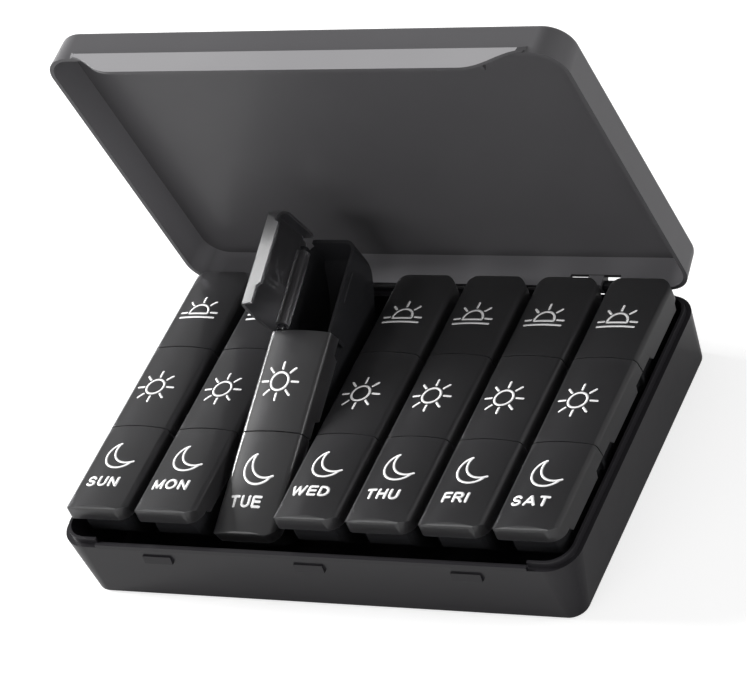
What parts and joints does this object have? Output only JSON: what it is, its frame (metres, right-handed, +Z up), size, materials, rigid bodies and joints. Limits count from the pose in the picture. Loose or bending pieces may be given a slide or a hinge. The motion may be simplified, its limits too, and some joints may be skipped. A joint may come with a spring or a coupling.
{
  "type": "pill organizer",
  "caption": "Weekly pill organizer: hinged flat case holding a row of removable lift-up boxes, each divided into lidded slots for times of day.",
  "frame": {"origin": "centre of the tray's flat underside", "axes": "+X along the week from Sunday to Saturday, +Y towards the case hinge at the rear, +Z up"},
  "size_m": [0.203, 0.1426, 0.158],
  "materials": {
    "tray_plastic": "satin",
    "case_lid_plastic": "glossy, smoky grey",
    "box_plastic": "glossy, smoky translucent",
    "lid_plastic": "glossy, smoky translucent"
  },
  "bodies": {
    "tray": {"base_tray": "tray_plastic"},
    "case_lid": {"case_lid": "case_lid_plastic"},
    "sunday_box": {"sunday_box": "box_plastic"},
    "sunday_night_lid": {"sunday_night_lid": "lid_plastic"},
    "sunday_noon_lid": {"sunday_noon_lid": "lid_plastic"},
    "sunday_morning_lid": {"sunday_morning_lid": "lid_plastic"},
    "monday_box": {"monday_box": "box_plastic"},
    "monday_night_lid": {"monday_night_lid": "lid_plastic"},
    "monday_noon_lid": {"monday_noon_lid": "lid_plastic"},
    "monday_morning_lid": {"monday_morning_lid": "lid_plastic"},
    "tuesday_box": {"tuesday_box": "box_plastic"},
    "tuesday_night_lid": {"tuesday_night_lid": "lid_plastic"},
    "tuesday_noon_lid": {"tuesday_noon_lid": "lid_plastic"},
    "tuesday_morning_lid": {"tuesday_morning_lid": "lid_plastic"},
    "wednesday_box": {"wednesday_box": "box_plastic"},
    "wednesday_night_lid": {"wednesday_night_lid": "lid_plastic"},
    "wednesday_noon_lid": {"wednesday_noon_lid": "lid_plastic"},
    "wednesday_morning_lid": {"wednesday_morning_lid": "lid_plastic"},
    "thursday_box": {"thursday_box": "box_plastic"},
    "thursday_night_lid": {"thursday_night_lid": "lid_plastic"},
    "thursday_noon_lid": {"thursday_noon_lid": "lid_plastic"},
    "thursday_morning_lid": {"thursday_morning_lid": "lid_plastic"},
    "friday_box": {"friday_box": "box_plastic"},
    "friday_night_lid": {"friday_night_lid": "lid_plastic"},
    "friday_noon_lid": {"friday_noon_lid": "lid_plastic"},
    "friday_morning_lid": {"friday_morning_lid": "lid_plastic"},
    "saturday_box": {"saturday_box": "box_plastic"},
    "saturday_night_lid": {"saturday_night_lid": "lid_plastic"},
    "saturday_noon_lid": {"saturday_noon_lid": "lid_plastic"},
    "saturday_morning_lid": {"saturday_morning_lid": "lid_plastic"}
  },
  "joints": [
    {"name": "case_hinge", "type": "hinge", "parent": "tray", "child": "case_lid", "pos_m": [0, 0.0665, 0.0271], "axis": [-1, 0, 0], "range_deg": [-17, 85]},
    {"name": "sunday_rock", "type": "hinge", "parent": "tray", "child": "sunday_box", "pos_m": [-0.0846, -0.0249, 0.0312], "axis": [1, 0, 0], "range_deg": [0, 17.5]},
    {"name": "sunday_night_hinge", "type": "hinge", "parent": "sunday_box", "child": "sunday_night_lid", "pos_m": [-0.0949, -0.0373, 0.0334], "axis": [0, -1, 0], "range_deg": [0, 90]},
    {"name": "sunday_noon_hinge", "type": "hinge", "parent": "sunday_box", "child": "sunday_noon_lid", "pos_m": [-0.0949, 0.0025, 0.0334], "axis": [0, -1, 0], "range_deg": [0, 90]},
    {"name": "sunday_morning_hinge", "type": "hinge", "parent": "sunday_box", "child": "sunday_morning_lid", "pos_m": [-0.0949, 0.0423, 0.0334], "axis": [0, -1, 0], "range_deg": [0, 90]},
    {"name": "monday_rock", "type": "hinge", "parent": "tray", "child": "monday_box", "pos_m": [-0.0564, -0.0249, 0.0312], "axis": [1, 0, 0], "range_deg": [0, 17.5]},
    {"name": "monday_night_hinge", "type": "hinge", "parent": "monday_box", "child": "monday_night_lid", "pos_m": [-0.0667, -0.0373, 0.0334], "axis": [0, -1, 0], "range_deg": [0, 90]},
    {"name": "monday_noon_hinge", "type": "hinge", "parent": "monday_box", "child": "monday_noon_lid", "pos_m": [-0.0667, 0.0025, 0.0334], "axis": [0, -1, 0], "range_deg": [0, 90]},
    {"name": "monday_morning_hinge", "type": "hinge", "parent": "monday_box", "child": "monday_morning_lid", "pos_m": [-0.0667, 0.0423, 0.0334], "axis": [0, -1, 0], "range_deg": [0, 90]},
    {"name": "tuesday_rock", "type": "hinge", "parent": "tray", "child": "tuesday_box", "pos_m": [-0.0282, -0.0249, 0.0312], "axis": [1, 0, 0], "range_deg": [-17.5, 0]},
    {"name": "tuesday_night_hinge", "type": "hinge", "parent": "tuesday_box", "child": "tuesday_night_lid", "pos_m": [-0.0385, -0.03739, 0.02957], "axis": [0, -0.9537, -0.3007], "range_deg": [0, 90]},
    {"name": "tuesday_noon_hinge", "type": "hinge", "parent": "tuesday_box", "child": "tuesday_noon_lid", "pos_m": [-0.0385, 0.00057, 0.04154], "axis": [0, -0.9537, -0.3007], "range_deg": [0, 90]},
    {"name": "tuesday_morning_hinge", "type": "hinge", "parent": "tuesday_box", "child": "tuesday_morning_lid", "pos_m": [-0.0385, 0.03853, 0.05351], "axis": [0, -0.9537, -0.3007], "range_deg": [-96, 0]},
    {"name": "wednesday_rock", "type": "hinge", "parent": "tray", "child": "wednesday_box", "pos_m": [0, -0.0249, 0.0312], "axis": [1, 0, 0], "range_deg": [0, 17.5]},
    {"name": "wednesday_night_hinge", "type": "hinge", "parent": "wednesday_box", "child": "wednesday_night_lid", "pos_m": [-0.0103, -0.0373, 0.0334], "axis": [0, -1, 0], "range_deg": [0, 90]},
    {"name": "wednesday_noon_hinge", "type": "hinge", "parent": "wednesday_box", "child": "wednesday_noon_lid", "pos_m": [-0.0103, 0.0025, 0.0334], "axis": [0, -1, 0], "range_deg": [0, 90]},
    {"name": "wednesday_morning_hinge", "type": "hinge", "parent": "wednesday_box", "child": "wednesday_morning_lid", "pos_m": [-0.0103, 0.0423, 0.0334], "axis": [0, -1, 0], "range_deg": [0, 90]},
    {"name": "thursday_rock", "type": "hinge", "parent": "tray", "child": "thursday_box", "pos_m": [0.0282, -0.0249, 0.0312], "axis": [1, 0, 0], "range_deg": [0, 17.5]},
    {"name": "thursday_night_hinge", "type": "hinge", "parent": "thursday_box", "child": "thursday_night_lid", "pos_m": [0.0179, -0.0373, 0.0334], "axis": [0, -1, 0], "range_deg": [0, 90]},
    {"name": "thursday_noon_hinge", "type": "hinge", "parent": "thursday_box", "child": "thursday_noon_lid", "pos_m": [0.0179, 0.0025, 0.0334], "axis": [0, -1, 0], "range_deg": [0, 90]},
    {"name": "thursday_morning_hinge", "type": "hinge", "parent": "thursday_box", "child": "thursday_morning_lid", "pos_m": [0.0179, 0.0423, 0.0334], "axis": [0, -1, 0], "range_deg": [0, 90]},
    {"name": "friday_rock", "type": "hinge", "parent": "tray", "child": "friday_box", "pos_m": [0.0564, -0.0249, 0.0312], "axis": [1, 0, 0], "range_deg": [0, 17.5]},
    {"name": "friday_night_hinge", "type": "hinge", "parent": "friday_box", "child": "friday_night_lid", "pos_m": [0.0461, -0.0373, 0.0334], "axis": [0, -1, 0], "range_deg": [0, 90]},
    {"name": "friday_noon_hinge", "type": "hinge", "parent": "friday_box", "child": "friday_noon_lid", "pos_m": [0.0461, 0.0025, 0.0334], "axis": [0, -1, 0], "range_deg": [0, 90]},
    {"name": "friday_morning_hinge", "type": "hinge", "parent": "friday_box", "child": "friday_morning_lid", "pos_m": [0.0461, 0.0423, 0.0334], "axis": [0, -1, 0], "range_deg": [0, 90]},
    {"name": "saturday_rock", "type": "hinge", "parent": "tray", "child": "saturday_box", "pos_m": [0.0846, -0.0249, 0.0312], "axis": [1, 0, 0], "range_deg": [0, 17.5]},
    {"name": "saturday_night_hinge", "type": "hinge", "parent": "saturday_box", "child": "saturday_night_lid", "pos_m": [0.0743, -0.0373, 0.0334], "axis": [0, -1, 0], "range_deg": [0, 90]},
    {"name": "saturday_noon_hinge", "type": "hinge", "parent": "saturday_box", "child": "saturday_noon_lid", "pos_m": [0.0743, 0.0025, 0.0334], "axis": [0, -1, 0], "range_deg": [0, 90]},
    {"name": "saturday_morning_hinge", "type": "hinge", "parent": "saturday_box", "child": "saturday_morning_lid", "pos_m": [0.0743, 0.0423, 0.0334], "axis": [0, -1, 0], "range_deg": [0, 90]}
  ]
}
